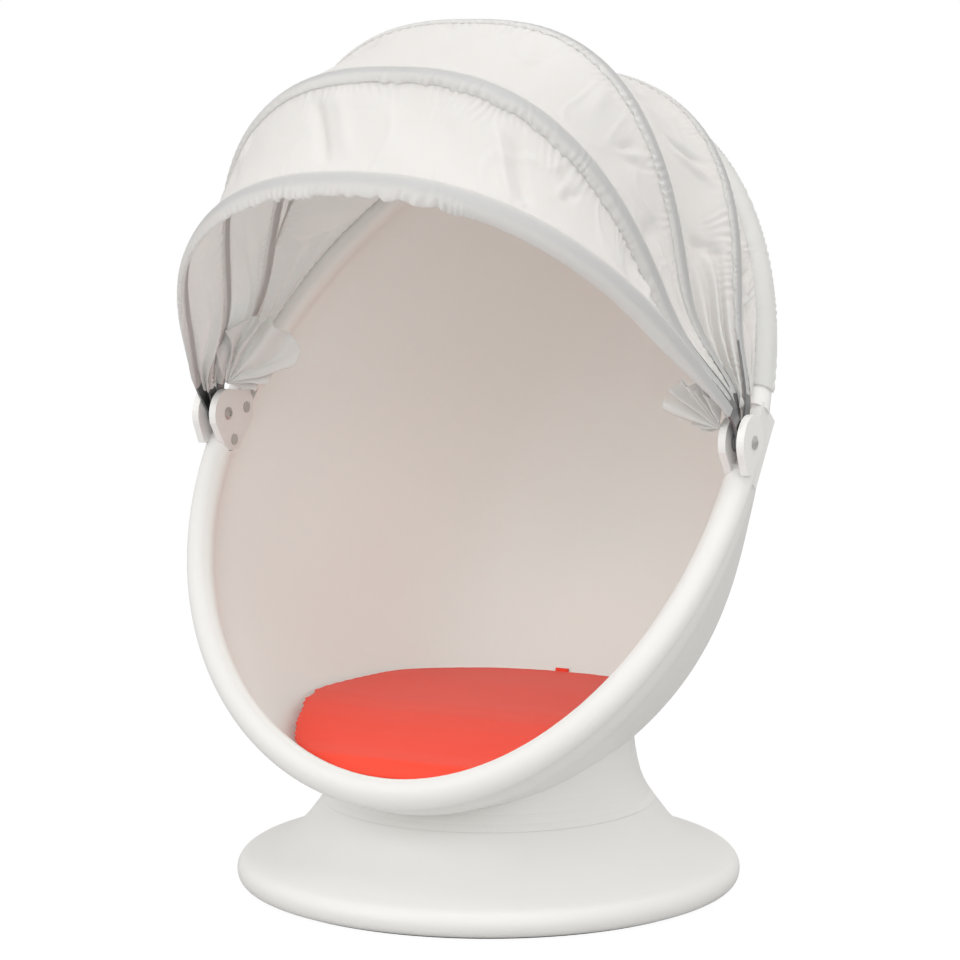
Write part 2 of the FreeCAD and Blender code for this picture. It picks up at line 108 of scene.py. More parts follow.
def gridObject(name, points, closedV=False, uv=None, flip=False):
    # Quads between neighbouring points of a grid of millimetre positions
    n, m = points.shape[:2]
    index = np.arange(n * m).reshape(n, m)
    if closedV:
        index = np.concatenate([index, index[:, :1]], axis=1)
    corners = [index[:-1, :-1], index[1:, :-1], index[1:, 1:], index[:-1, 1:]]
    faces = np.stack(corners[::-1] if flip else corners, axis=-1).reshape(-1, 4)
    mesh = bpy.data.meshes.new(name)
    mesh.vertices.add(n * m)
    setCoordinates(mesh, points.reshape(-1, 3))
    mesh.loops.add(faces.size)
    mesh.loops.foreach_set("vertex_index", faces.astype(np.int32).ravel())
    mesh.polygons.add(len(faces))
    mesh.polygons.foreach_set("loop_start", np.arange(0, faces.size, 4, dtype=np.int32))
    mesh.update(calc_edges=True)
    if uv is not None:
        layer = mesh.uv_layers.new(name="cloth")
        layer.data.foreach_set("uv", uv.reshape(-1, 2)[faces.ravel()].astype(np.float32).ravel())
    shadeSmooth(mesh)
    return linked(bpy.data.objects.new(name, mesh))


def gridUv(u, v):
    # Texture places in metres from two arrays of millimetres
    return np.stack(np.broadcast_arrays(u * mm, v * mm), axis=-1)


def gridArea(points):
    # Half the cross product of each cell's diagonals, added up, in square metres
    one = points[1:, 1:] - points[:-1, :-1]
    two = points[:-1, 1:] - points[1:, :-1]
    return float(np.linalg.norm(np.cross(one, two), axis=-1).sum() / 2 * mm * mm)


def thicken(piece, thickness):
    solid = piece.modifiers.new("thickness", "SOLIDIFY")
    solid.thickness = thickness * mm
    solid.offset = 0.0
    solid.use_even_offset = False


def dress(piece, finish):
    piece.data.materials.clear()
    piece.data.materials.append(finish)


# Finishes

class Channel:
    # A shader value that can be added, multiplied and so on

    def __init__(self, graph, socket):
        self.graph = graph
        self.socket = socket

    def worked(self, operation, first, second):
        node = self.graph.add("ShaderNodeMath", {"operation": operation}, {0: first, 1: second})
        return Channel(self.graph, node.outputs[0])

    def __add__(self, other):
        return self.worked("ADD", self, other)

    def __radd__(self, other):
        return self.worked("ADD", other, self)

    def __sub__(self, other):
        return self.worked("SUBTRACT", self, other)

    def __rsub__(self, other):
        return self.worked("SUBTRACT", other, self)

    def __mul__(self, other):
        return self.worked("MULTIPLY", self, other)

    def __rmul__(self, other):
        return self.worked("MULTIPLY", other, self)

    def wave(self):
        return self.worked("SINE", self, 0.0)

    def clamped(self):
        node = self.graph.add("ShaderNodeClamp", {}, {"Value": self})
        return Channel(self.graph, node.outputs[0])


class Graph:
    # A node tree, one way to add a node to it, and the textures used here

    def __init__(self, tree, output):
        self.tree = tree
        self.tree.nodes.clear()
        self.output = self.tree.nodes.new(output)

    def link(self, source, target):
        self.tree.links.new(source, target)

    def add(self, kind, settings, inputs):
        node = self.tree.nodes.new(kind)
        for key, value in settings.items():
            setattr(node, key, value)
        for key, value in inputs.items():
            if isinstance(value, Channel):
                value = value.socket
            if isinstance(value, bpy.types.NodeSocket):
                self.link(value, node.inputs[key])
            else:
                node.inputs[key].default_value = value
        return node

    def ending(self, share, first, second):
        # Two shaders mixed into the output
        node = self.add("ShaderNodeMixShader", {}, {0: share, 1: first.outputs[0], 2: second.outputs[0]})
        self.link(node.outputs[0], self.output.inputs[0])

    def cameraRay(self):
        return Channel(self, self.add("ShaderNodeLightPath", {}, {}).outputs["Is Camera Ray"])

    def place(self, output="Object"):
        return self.add("ShaderNodeTexCoord", {}, {}).outputs[output]

    def noise(self, vector, scale, detail=3.0, roughness=0.5):
        settings = {"Vector": vector, "Scale": scale, "Detail": detail, "Roughness": roughness}
        return Channel(self, self.add("ShaderNodeTexNoise", {}, settings).outputs[0])

    def mixed(self, share, first, second):
        node = self.add("ShaderNodeMix", {"data_type": "RGBA"}, {0: share, 6: first, 7: second})
        return node.outputs[2]

    def vector(self, operation, first, second):
        return self.add("ShaderNodeVectorMath", {"operation": operation}, {0: first, 1: second})

    def weave(self, vector, pitch):
        # Crossed threads along the first two axes
        turn = 2 * math.pi / pitch
        across = (self.axis(vector, "X") * turn).wave()
        along = (self.axis(vector, "Y") * turn).wave()
        return across * along

    def axis(self, vector, name):
        return Channel(self, self.add("ShaderNodeSeparateXYZ", {}, {0: vector}).outputs[name])


class Finish(Graph):
    # A material with one Principled shader

    def __init__(self, name, **fixed):
        self.material = bpy.data.materials.new(name)
        self.material.use_nodes = True
        super().__init__(self.material.node_tree, "ShaderNodeOutputMaterial")
        self.shader = self.add("ShaderNodeBsdfPrincipled", {}, fixed)
        self.link(self.shader.outputs[0], self.output.inputs[0])

    def bump(self, height, strength, distance):
        node = self.add("ShaderNodeBump", {}, {"Strength": strength, "Distance": distance, "Height": height})
        self.link(node.outputs[0], self.shader.inputs["Normal"])

    def colour(self, source):
        self.link(source, self.shader.inputs["Base Color"])

    def roughness(self, source):
        self.link(source.socket, self.shader.inputs["Roughness"])


plastic = {
    "colour": (0.825, 0.815, 0.795, 1),
    "shade": (0.80, 0.788, 0.765, 1),
    # Inside colours are painted light: the same plastic drawn lighter and tinted to stand in for the light
    # that bounces round the hollow
    "inside": (0.915, 0.925, 0.89, 1),
    "insideShade": (0.90, 0.908, 0.872, 1),
    "roughness": 0.42,
    "grainScale": 620.0,
    "grainDepth": 0.00012,
    "cloudScale": 5.0,
    "centre": (0.0, 0.12, 0.42),
    "insideSlope": -7.0,
    "insideStart": 0.35,
}


def plasticFinish(name, withPaintedInsideLight):
    # Satin moulded plastic: faint cloudy colour, fine orange-peel grain, duller in places. The
    # inside is where the surface faces the bucket's centre; if asked, it is painted lighter and tinted
    # there, painted light for the light that bounces round the hollow
    f = Finish(name, **{"Roughness": plastic["roughness"], "Specular IOR Level": 0.42})
    place = f.place()
    cloud = f.noise(place, plastic["cloudScale"])
    outside = f.mixed(cloud, plastic["colour"], plastic["shade"])
    # Painted light: a lighter, tinted colour where the surface faces the bucket's centre
    if withPaintedInsideLight:
        paintedLightInsideColour = f.mixed(cloud, plastic["inside"], plastic["insideShade"])
        offset = f.vector("SUBTRACT", place, plastic["centre"]).outputs[0]
        facing = f.add("ShaderNodeNewGeometry", {}, {}).outputs["Normal"]
        away = Channel(f, f.vector("DOT_PRODUCT", facing, offset).outputs["Value"])
        paintedLightMask = (away * plastic["insideSlope"] - plastic["insideStart"]).clamped()
        f.colour(f.mixed(paintedLightMask, outside, paintedLightInsideColour))
    else:
        f.colour(outside)
    grain = f.noise(place, plastic["grainScale"], 2.0)
    f.roughness(f.noise(place, 14.0) * 0.10 + (plastic["roughness"] - 0.05))
    f.bump(grain, 0.35, plastic["grainDepth"])
    return f.material


hoodCloth = {
    "colour": (0.925, 0.925, 0.912, 1),
    "shade": (0.895, 0.895, 0.88, 1),
    "threadPitch": 0.0011,
    "cloudScale": 9.0,
    "crumpleScale": 160.0,
    "depth": 0.00022,
    "through": 0.52,
}


def hoodFinish():
    # Thin woven polyester: crossed threads, a slight silky gloss, light passes through
    f = Finish("hood_polyester", **{"Roughness": 0.5, "Sheen Weight": 0.25, "Sheen Roughness": 0.4})
    threads = f.weave(f.place("UV"), hoodCloth["threadPitch"])
    cloud = f.noise(f.place(), hoodCloth["cloudScale"])
    f.colour(f.mixed(cloud, hoodCloth["colour"], hoodCloth["shade"]))
    f.roughness(cloud * 0.14 + 0.40)
    f.bump(threads + f.noise(f.place(), hoodCloth["crumpleScale"]) * 1.2, 0.25, hoodCloth["depth"])
    through = f.add("ShaderNodeBsdfTranslucent", {}, {"Color": hoodCloth["colour"]})
    f.ending(hoodCloth["through"], f.shader, through)
    return f.material


padCloth = {
    "colour": (1.0, 0.078, 0.040, 1),
    "shade": (0.97, 0.070, 0.036, 1),
    "threadPitch": 0.0013,
    "cloudScale": 16.0,
    "fuzzScale": 420.0,
    "depth": 0.0003,
}


def padFinish():
    # Coral red cotton cover: plain weave, a dry soft surface
    f = Finish("pad_cover", **{"Roughness": 0.8, "Sheen Weight": 0.15, "Specular IOR Level": 0.25})
    place = f.place()
    cloud = f.noise(place, padCloth["cloudScale"])
    f.colour(f.mixed(cloud, padCloth["colour"], padCloth["shade"]))
    f.roughness(cloud * 0.1 + 0.74)
    threads = f.weave(place, padCloth["threadPitch"])
    f.bump(threads + f.noise(place, padCloth["fuzzScale"]) * 0.8, 0.3, padCloth["depth"])
    return f.material


def plainFinish(name, colour, second, roughness, metallic=0.0, scale=30.0, grain=500.0, depth=0.0001):
    # Two near colours in soft clouds, uneven roughness and a fine grain
    f = Finish(name, **{"Roughness": roughness, "Metallic": metallic})
    place = f.place()
    cloud = f.noise(place, scale)
    f.colour(f.mixed(cloud, colour, second))
    f.roughness(cloud * 0.12 + (roughness - 0.06))
    f.bump(f.noise(place, grain), 0.3, depth)
    return f.material


# The shell's inside is painted lighter and tinted: painted light for the hollow
shellPlasticInsidePaintedLight = plasticFinish("shell_plastic_inside_painted_light", True)
basePlastic = plasticFinish("base_plastic", False)
bracketPlastic = plainFinish("bracket_plastic", (0.86, 0.85, 0.83, 1), (0.83, 0.82, 0.80, 1), 0.38)
nylon = plainFinish("nylon", (0.78, 0.77, 0.72, 1), (0.74, 0.73, 0.68, 1), 0.45)
rubber = plainFinish("rubber", (0.03, 0.03, 0.03, 1), (0.045, 0.045, 0.045, 1), 0.8)
zincSteel = plainFinish("zinc_steel", (0.62, 0.61, 0.59, 1), (0.52, 0.51, 0.50, 1), 0.3, 1.0, 60.0)
springSteel = plainFinish("spring_steel", (0.30, 0.30, 0.30, 1), (0.22, 0.22, 0.23, 1), 0.38, 1.0, 80.0)
hookLoop = plainFinish("hook_loop", (0.75, 0.74, 0.72, 1), (0.68, 0.67, 0.65, 1), 0.9,
                       scale=90.0, grain=900.0, depth=0.0004)
hoodPolyester = hoodFinish()
padCover = padFinish()

slotFinish = {
    "moulded_plastic": basePlastic, "bracket_plastic": bracketPlastic, "bearing_plastic": nylon,
    "rubber": rubber, "steel": zincSteel, "spring_steel": springSteel, "pad_fabric": padCover,
    "hood_fabric": hoodPolyester, "fastener": hookLoop,
}
for entry in frame["record"]["subparts"]:
    node = nodes[entry["node"]]
    node.data.materials.clear()
    node.data.materials.append(slotFinish[entry["material_slot"]])
nodes["seat_bucket"].data.materials[0] = shellPlasticInsidePaintedLight
print("finishes ready")


# Hood

hood = {
    "pivot": (0.0, -42.5, 448.0),
    "legStraight": 27.0,
    "legBlend": 62.0,
    "clothStart": 31.0,
    "sleeveStart": 44.0,
    "sleeveFull": 170.0,
    "sleeveNarrow": 0.45,
    "sleeveEdgeThick": 4.2,
    "bendFrom": 6.2,
    "backPitch": 8.6,
    "backSpan": 17.0,
    "forePitch": 10.0,
    "foreSpan": 10.0,
    "pleatsFull": 80.0,
    "pleatsEnd": 235.0,
    "rows": 620,
    "cols": 64,
    "around": 36,
    "clothThick": 0.7,
    "easeAlong": 1.06,
    "easeAcross": 1.05,
}
bows = {
    "front": {"angle": 44.4, "reach": 338.9, "half": 284.0, "power": 2.24, "draw": 13.0},
    "second": {"angle": 25.2, "reach": 372.3, "half": 278.6, "power": 2.54, "draw": 41.0},
    "third": {"angle": -0.6, "reach": 382.5, "half": 275.9, "power": 2.68, "draw": 48.5},
    "rear": {"angle": -19.2, "reach": 357.0, "half": 281.3, "power": 3.03, "draw": 20.5},
}
pivot = np.array(hood["pivot"])


def bowLine(bow, start, count):
    # A superellipse above the pivots whose legs draw in above the brackets, evenly spaced
    # from the right leg to the left: place across, reach, outward direction and length along
    low = math.asin((start / bow["reach"]) ** (bow["power"] / 2))
    theta = low + (math.pi - 2 * low) * (0.5 - 0.5 * np.cos(np.linspace(0, math.pi, 4001)))
    reach = bow["reach"] * np.abs(np.sin(theta)) ** (2 / bow["power"])
    beyond = np.maximum(0, reach - hood["legStraight"])
    half = bow["half"] - bow["draw"] * (1 - np.exp(-(beyond / hood["legBlend"]) ** 2))
    c = np.cos(theta)
    x = half * np.sign(c) * np.abs(c) ** (2 / bow["power"])
    length = np.concatenate([[0], np.cumsum(np.hypot(np.diff(x), np.diff(reach)))])
    s = np.linspace(0, length[-1], count)
    x, reach = np.interp(s, length, x), np.interp(s, length, reach)
    dx, dr = np.gradient(x, s), np.gradient(reach, s)
    size = np.hypot(dx, dr)
    return {"x": x, "reach": reach, "nx": dr / size, "nr": -dx / size, "s": s, "length": float(length[-1])}


def gathers(along, depth, pitch, seed, span):
    # Little folds at a seam that fade with depth from it: a warped wave under a random envelope
    length = along.max()
    u, d = np.broadcast_arrays(along / length, depth)
    warp = softNoise(u, d / 90, int(length / 38), 3, seed) * 1.1
    wave = np.sin(2 * math.pi * (along / pitch + warp))
    ridge = np.sign(wave) * np.abs(wave) ** 0.75
    size = 0.6 + 0.5 * softNoise(u, 0 * d, int(length / 20), 1, seed + 1)
    deep = span * (0.75 + 0.6 * softNoise(u, 0 * d, int(length / 13), 1, seed + 2))
    return ridge * size * np.exp(-np.abs(d / deep) ** 1.4) * 0.5


# Each sleeve leans over along its bow (degrees at shares of its length, from the right leg), and is
# drawn into folds along its front edge (millimetres at the same kind of shares)
sleeves = {
    "front": {"wide": 27.0, "thick": 7.0, "shift": 3.0, "pitch": 7.6, "seed": 11, "span": 11.0,
              "backFold": 0.3,
              "lean": ((0, 6), (0.07, 30), (0.18, 62), (0.36, 66), (0.44, 30), (0.78, 22), (0.92, 30),
                       (1, 6)),
              "fold": ((0, 0.7), (0.2, 0.35), (0.35, 0.5), (0.39, 4.2), (0.58, 4.0), (0.63, 1.2),
                       (1, 1.6))},
    "second": {"wide": 23.0, "thick": 5.0, "shift": 2.5, "pitch": 9.0, "seed": 21, "span": 17.0,
               "backFold": 0.2,
               "lean": ((0, 8), (0.14, 30), (0.24, 52), (0.46, 55), (0.56, 34), (0.84, 30), (1, 8)),
               "fold": ((0, 0.7), (0.2, 1.6), (0.26, 3.0), (0.47, 3.0), (0.54, 1.0), (0.8, 1.4), (1, 0.8))},
    "third": {"wide": 21.0, "thick": 5.0, "shift": 1.0, "pitch": 8.0, "seed": 31, "span": 12.0,
              "backFold": 0.4,
              "lean": ((0, 4), (0.2, 8), (0.5, 12), (0.8, 8), (1, 4)),
              "fold": ((0, 0.6), (0.17, 0.9), (0.22, 2.6), (0.42, 2.4), (0.5, 0.9), (0.8, 1.6), (1, 0.8))},
    "rear": {"wide": 19.0, "thick": 5.0, "shift": 0.5, "pitch": 6.4, "seed": 41, "span": 10.0,
             "backFold": 0.8,
             "lean": ((0, 4), (0.5, 8), (1, 4)),
             "fold": ((0, 1.6), (0.15, 2.2), (0.3, 2.0), (0.45, 0.8), (0.6, 1.0), (1, 1.6))},
}


def atShares(share, stops):
    # Values between stops, each a place along the bow and a value
    places, values = zip(*stops)
    return np.interp(share, places, values)


def sleeveFrame(word, start, count):
    # The bow's line with its outward and travel directions, the sleeve's half width and its lean
    bow, spec = bows[word], sleeves[word]
    line = bowLine(bow, start, count)
    a = math.radians(bow["angle"])
    share = line["s"] / line["length"]
    travel = np.array([0, -math.cos(a), -math.sin(a)])
    out = np.stack([line["nx"], -line["nr"] * math.sin(a), line["nr"] * math.cos(a)], axis=-1)
    centre = np.stack([line["x"], pivot[1] - line["reach"] * math.sin(a),
                       pivot[2] + line["reach"] * math.cos(a)], axis=-1)
    lean = np.radians(atShares(share, spec["lean"]))
    full = eased(line["reach"], hood["sleeveStart"], hood["sleeveFull"])
    half = spec["wide"] / 2 * (hood["sleeveNarrow"] + (1 - hood["sleeveNarrow"]) * full)
    return {"line": line, "share": share, "centre": centre, "travel": travel, "out": out, "lean": lean,
            "half": half, "shift": spec["shift"] * half / half.max()}


def sleeveAt(f, w, lift):
    # A point of the sleeve: w across it, flat over the strip, then bent inwards by the lean beyond
    # the strip's front edge; lift off that line
    lean = f["lean"][:, None]
    beyond = w - hood["bendFrom"]
    past = np.maximum((beyond + np.sqrt(beyond ** 2 + 3)) / 2 - 0.1, 0)
    turn = lean * eased(w, hood["bendFrom"] - 2, hood["bendFrom"] + 3)
    forward = w - past * (1 - np.cos(lean)) + lift * np.sin(turn)
    outward = lift * np.cos(turn) - past * np.sin(lean)
    return f["centre"][:, None] + f["travel"] * forward[..., None] + f["out"][:, None] * outward[..., None]


def capEnds(piece, rings, around):
    # A face across each open end of a tube, and every face turned outwards
    work = bmesh.new()
    work.from_mesh(piece.data)
    work.verts.ensure_lookup_table()
    for first, order in ((0, 1), ((rings - 1) * around, -1)):
        ring = [work.verts[first + k] for k in range(around)]
        work.faces.new(ring[::order])
    bmesh.ops.recalc_face_normals(work, faces=work.faces)
    work.to_mesh(piece.data)
    work.free()


def sleevePiece(word):
    # A flattened tube round the bow: a squared ellipse, its front edge drawn into small folds
    spec = sleeves[word]
    f = sleeveFrame(word, hood["sleeveStart"], hood["rows"])
    share, half, length = f["share"], f["half"][:, None], f["line"]["length"]
    turns = np.linspace(0, 2 * math.pi, hood["around"], endpoint=False)
    c, s = np.cos(turns), np.sin(turns)
    wide = np.sign(c) * np.abs(c) ** 0.8 * half
    along = f["line"]["s"][:, None]
    thin = hood["sleeveEdgeThick"]
    thick = thin + (spec["thick"] - thin) * eased(along / length * (1 - along / length), 0, 0.1)
    lift = np.sign(s) * np.abs(s) ** 0.8 * thick / 2
    size = atShares(share, spec["fold"])[:, None]
    front = gathers(along, half - wide, spec["pitch"], spec["seed"], spec["span"]) * size
    back = gathers(along, half + wide, spec["pitch"] * 1.2, spec["seed"] + 5, 5.0) * spec["backFold"]
    overStrip = np.where(np.abs(wide) < 7, 0.5, 1.0)
    lift = lift + (front + back) * np.where(s > -0.4, 1.0, 0.6) * overStrip
    scallop = softNoise(share[:, None] + 0 * wide, 0 * wide, int(length / 7), 1, spec["seed"] + 7)
    wide = wide + f["shift"][:, None] + scallop * 0.55 * size * (c > 0.3)
    points = sleeveAt(f, wide, lift)
    piece = gridObject("cover_" + word, points, closedV=True, uv=gridUv(along, turns[None, :] * 8))
    capEnds(piece, len(share), len(turns))
    dress(piece, hoodPolyester)
    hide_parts("sleeve_" + word)
    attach(piece, "hood_" + word)


for word in bows:
    sleevePiece(word)
print("sleeves ready")


# Folds: share of the length, drift of that share from back seam to front seam, first and last place
# between the seams, width and height in millimetres
panels = {
    "front": {"back": "second", "fore": "front", "seed": 101, "sag": 0.012, "pleats": 2.0,
              "pleatDepth": 5.0, "gatherBack": 2.4, "gatherFore": 0.9, "billow": 1.7, "tuck": 3.0,
              "folds": ((0.578, -0.05, 0.0, 0.95, 7, -5.5), (0.552, -0.05, 0.0, 0.9, 8, 2.5),
                        (0.505, -0.05, 0.1, 1.0, 22, 2.2), (0.437, -0.05, 0.2, 1.0, 16, -2.2),
                        (0.385, -0.05, 0.1, 1.0, 6, 3.6), (0.366, -0.05, 0.1, 1.0, 7, -3.4),
                        (0.300, -0.03, 0.0, 0.6, 8, -3.0), (0.285, 0.02, 0.1, 0.6, 5, 3.2),
                        (0.262, 0.05, 0.1, 0.6, 5, -2.6), (0.655, 0.05, 0.0, 0.45, 5, -3.0),
                        (0.665, 0.06, 0.0, 0.5, 4, 2.6), (0.70, -0.03, 0.1, 0.8, 9, -3.2),
                        (0.200, -0.02, 0.0, 1.0, 12, -4.0), (0.170, -0.02, 0.1, 1.0, 8, 3.0))},
    "second": {"back": "third", "fore": "second", "seed": 201, "sag": 0.012, "pleats": 2.0,
               "pleatDepth": 5.0, "gatherBack": 2.2, "gatherFore": 0.8, "billow": 1.7, "tuck": 2.0,
               "folds": ((0.262, 0.03, 0.05, 0.55, 7, -4.5), (0.250, 0.05, 0.05, 0.6, 5, 3.6),
                         (0.236, 0.06, 0.02, 0.5, 5, -3.0), (0.330, -0.02, 0.0, 0.6, 9, 2.4),
                         (0.400, -0.02, 0.0, 0.7, 10, -2.4), (0.470, -0.01, 0.1, 0.9, 16, 2.0),
                         (0.190, 0.0, 0.1, 1.0, 12, -4.2), (0.600, -0.02, 0.0, 0.8, 12, -2.6),
                         (0.690, -0.03, 0.1, 0.9, 8, 3.0))},
    "third": {"back": "rear", "fore": "third", "seed": 301, "sag": 0.014, "pleats": 2.4,
              "pleatDepth": 6.0, "gatherBack": 2.6, "gatherFore": 0.9, "billow": 2.0, "tuck": 2.0,
              "folds": ((0.235, 0.06, 0.1, 0.75, 5, -7.0), (0.216, 0.06, 0.1, 0.8, 5, 4.6),
                        (0.300, 0.0, 0.2, 1.0, 12, 2.4), (0.150, 0.02, 0.1, 0.9, 7, -5.0),
                        (0.400, 0.0, 0.1, 0.9, 14, -2.4), (0.700, -0.04, 0.1, 0.8, 7, -5.0))},
    "rear": {"seed": 401, "sag": 0.010, "pleats": 2.0, "pleatDepth": 5.0,
             "gatherBack": 2.0, "gatherFore": 2.4, "billow": 3.0, "tuck": 2.0,
             "folds": ((0.120, 0.01, 0.0, 1.0, 4, -5.0), (0.104, 0.0, 0.1, 1.0, 3.5, 4.0),
                       (0.090, -0.01, 0.0, 1.0, 4, -5.0), (0.160, 0.02, 0.0, 0.9, 6, -4.0),
                       (0.215, -0.03, 0.1, 1.0, 8, -5.0), (0.245, 0.03, 0.0, 0.9, 5, 3.6))},
}


def hung(a, b, line, spec):
    # Straight lines from seam to seam, drawn in half way; then little folds at both seams, broad soft
    # ones and chosen folds between them, and pleats that run down into the brackets
    v = np.linspace(0, 1, hood["cols"])
    points = a[:, None] + (b - a)[:, None] * v[None, :, None]
    outward = unit(points - pivot)
    far = np.linalg.norm(points - pivot, axis=-1)
    points = points - outward * (spec["sag"] * np.sin(math.pi * v)[None, :] * far)[..., None]
    normal = gridNormals(points)
    normal *= np.sign(np.sum(normal * outward, axis=-1, keepdims=True))
    s, length = line["s"][:, None], line["length"]
    u2, v2 = np.broadcast_arrays(s / length, v[None, :])
    width = np.linalg.norm(b - a, axis=-1)[:, None]
    seed = spec["seed"]
    back = gathers(s, width * v2, hood["backPitch"], seed, hood["backSpan"])
    fore = gathers(s, width * (1 - v2), hood["forePitch"], seed + 10, hood["foreSpan"])
    height = back * spec["gatherBack"]
    height = height + fore * spec["gatherFore"]
    between = np.sin(math.pi * v2) ** 0.6
    broad = softNoise(u2, v2, 15, 1, seed + 20) + 0.55 * softNoise(u2, v2, 37, 2, seed + 21)
    crease = np.maximum(1 - np.abs(softNoise(u2, v2 * 0.8, 22, 2, seed + 22)) * 5, 0)
    height = height + (broad * spec["billow"] + crease * 1.2) * between
    for place, drift, first, last, wide, high in spec["folds"]:
        offset = (u2 - place - drift * v2) * length / wide
        run = eased(v2, first, first + 0.25) * (1 - eased(v2, last - 0.3, last))
        height = height + high * run * np.exp(-offset ** 2)
    low = 1 - eased(line["reach"][:, None] + 0 * v2, hood["pleatsFull"], hood["pleatsEnd"])
    wander = softNoise(u2, v2, 9, 2, seed + 30) * 0.4
    pleat = np.sin(2 * math.pi * spec["pleats"] * (v2 + wander))
    height = height + pleat * spec["pleatDepth"] * low * between
    free = eased(v2, 0, 0.05) * (1 - eased(v2, 0.95, 1.0))
    return points + normal * (height * (0.35 + 0.65 * free))[..., None]


def clothPiece(name, a, b, line, spec, bodies, restsOn):
    # One cloth panel from the seam a on the first body to the seam b on the second
    points = hung(a, b, line, spec)
    width = np.linalg.norm(b - a, axis=-1)
    v = np.linspace(0, 1, hood["cols"])
    piece = gridObject(name, points, uv=gridUv(line["s"][:, None], width[:, None] * v[None, :]))
    thicken(piece, hood["clothThick"])
    dress(piece, hoodPolyester)
    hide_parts("hood_" + name)
    middle = len(a) // 2
    a[middle] * mm
    b[middle] * mm
    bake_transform(piece)
    cut = (line["length"] * hood["easeAlong"] * mm, float(width.max()) * hood["easeAcross"] * mm)
    gridArea(points)


def seamOf(word, edge, tuck):
    # Where cloth is sewn under a sleeve: along its front edge (1) or its back edge (-1)
    f = sleeveFrame(word, hood["clothStart"], hood["rows"])
    w = ((f["half"] - 1.5) * edge + f["shift"])[:, None]
    return sleeveAt(f, w, 0 * w - tuck * 0.5)[:, 0]


def panelPiece(word):
    # The panel between two bows: from under one sleeve's front edge to under the next one's back edge
    spec = panels[word]
    back, fore = spec["back"], spec["fore"]
    line = bowLine(bows[back], hood["clothStart"], hood["rows"])
    clothPiece("panel_" + word, seamOf(back, 1, spec["tuck"]), seamOf(fore, -1, 0.5), line, spec,
               ("hood_" + back, "hood_" + fore), ["cover_" + back, "cover_" + fore])


for word in ("front", "second", "third"):
    panelPiece(word)
print("panels ready")


rim = {
    "halfWidth": 290.8, "halfLength": 403.1, "topExtra": 12.4, "taper": 0.081, "square": 0.029,
    "centreY": -19.8, "centreZ": 450.6, "lean": math.radians(37.8), "bow": 19.9, "twist": -3.5,
    "rollWidth": 27.0, "rollDepth": 26.0, "rollCentre": 5.0,
}
hem = {
    "low": math.radians(7.5), "first": -8.0, "last": 92.0, "lift": 1.5, "ripple": 1.3, "cord": 0.9,
    "pitch": 9.0, "span": 9.0, "seed": 451, "cols": 28, "perDegree": 0.25, "cutWidth": 0.03, "ease": 1.1,
}


def rollPoint(theta, turn, lift):
    # A point on the rolled rim: its place round the egg outline, then round the roll's own section
    a = np.radians(turn)
    inset = rim["rollWidth"] / 2 - (rim["rollWidth"] / 2 + lift) * np.cos(a)
    depth = rim["rollCentre"] - (rim["rollDepth"] / 2 + lift) * np.sin(a)
    s = np.sin(theta)
    x = (rim["halfWidth"] - inset) * np.cos(theta) * (1 - rim["taper"] * s - rim["square"] * s * s)
    along = (rim["halfLength"] + rim["topExtra"] * s - inset) * s
    depth = depth + rim["bow"] * (along / 300) ** 2 + rim["twist"] * (along / 300) ** 3
    y = rim["centreY"] + along * math.sin(rim["lean"]) + depth * math.cos(rim["lean"])
    z = rim["centreZ"] + along * math.cos(rim["lean"]) - depth * math.sin(rim["lean"])
    return np.stack(np.broadcast_arrays(x, y, z), axis=-1)


def rearPieces():
    # The elastic hem round the rolled rim, and the cloth from it to the rear bow
    line = bowLine(bows["rear"], hood["clothStart"], hood["rows"])
    share, along = line["s"] / line["length"], line["s"][:, None]
    theta = hem["low"] + (math.pi - 2 * hem["low"]) * share
    turns = np.linspace(hem["first"], hem["last"], hem["cols"])
    edge = np.minimum(turns - hem["first"], hem["last"] - turns)[None, :] * hem["perDegree"]
    ripple = gathers(along, edge, hem["pitch"], hem["seed"], hem["span"]) * hem["ripple"]
    cord = np.exp(-((turns - hem["first"] - 5) / 6) ** 2)[None, :] * hem["cord"]
    points = rollPoint(theta[:, None], turns[None, :], hem["lift"] + ripple + cord)
    piece = gridObject("hem_cloth", points, uv=gridUv(along, turns[None, :] * hem["perDegree"]))
    thicken(piece, hood["clothThick"])
    dress(piece, hoodPolyester)
    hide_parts("hood_hem")
    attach(piece, "seat")
    cut = (line["length"] * hem["ease"] * mm, hem["cutWidth"])
    gridArea(points)
    clothPiece("panel_rear", rollPoint(theta, 90, hem["lift"]), seamOf("rear", -1, 1.0), line,
               panels["rear"], ("seat", "hood_rear"), ["hem_cloth", "cover_rear"])


rearPieces()
print("rear cloth ready")


# Loose lower corners of the hood, drawn together above each bracket and fanned out inwards
corner = {
    "pinch": (-258.0, -60.0, 480.0),
    "edge": ((-262, -76, 512), (-247, -84, 536), (-232, -82, 541), (-214, -78, 546), (-198, -74, 546),
             (-184, -68, 533), (-170, -62, 514), (-192, -54, 500), (-208, -50, 490), (-222, -48, 482),
             (-238, -50, 474)),
    "pleats": 6.5,
    "pleatDepth": 6.5,
    "crumple": 1.6,
    "scallop": 1.4,
    "blur": 0.025,
    "rows": 220,
    "cols": 46,
    "cutLength": 0.2,
    "ease": 1.02,
}


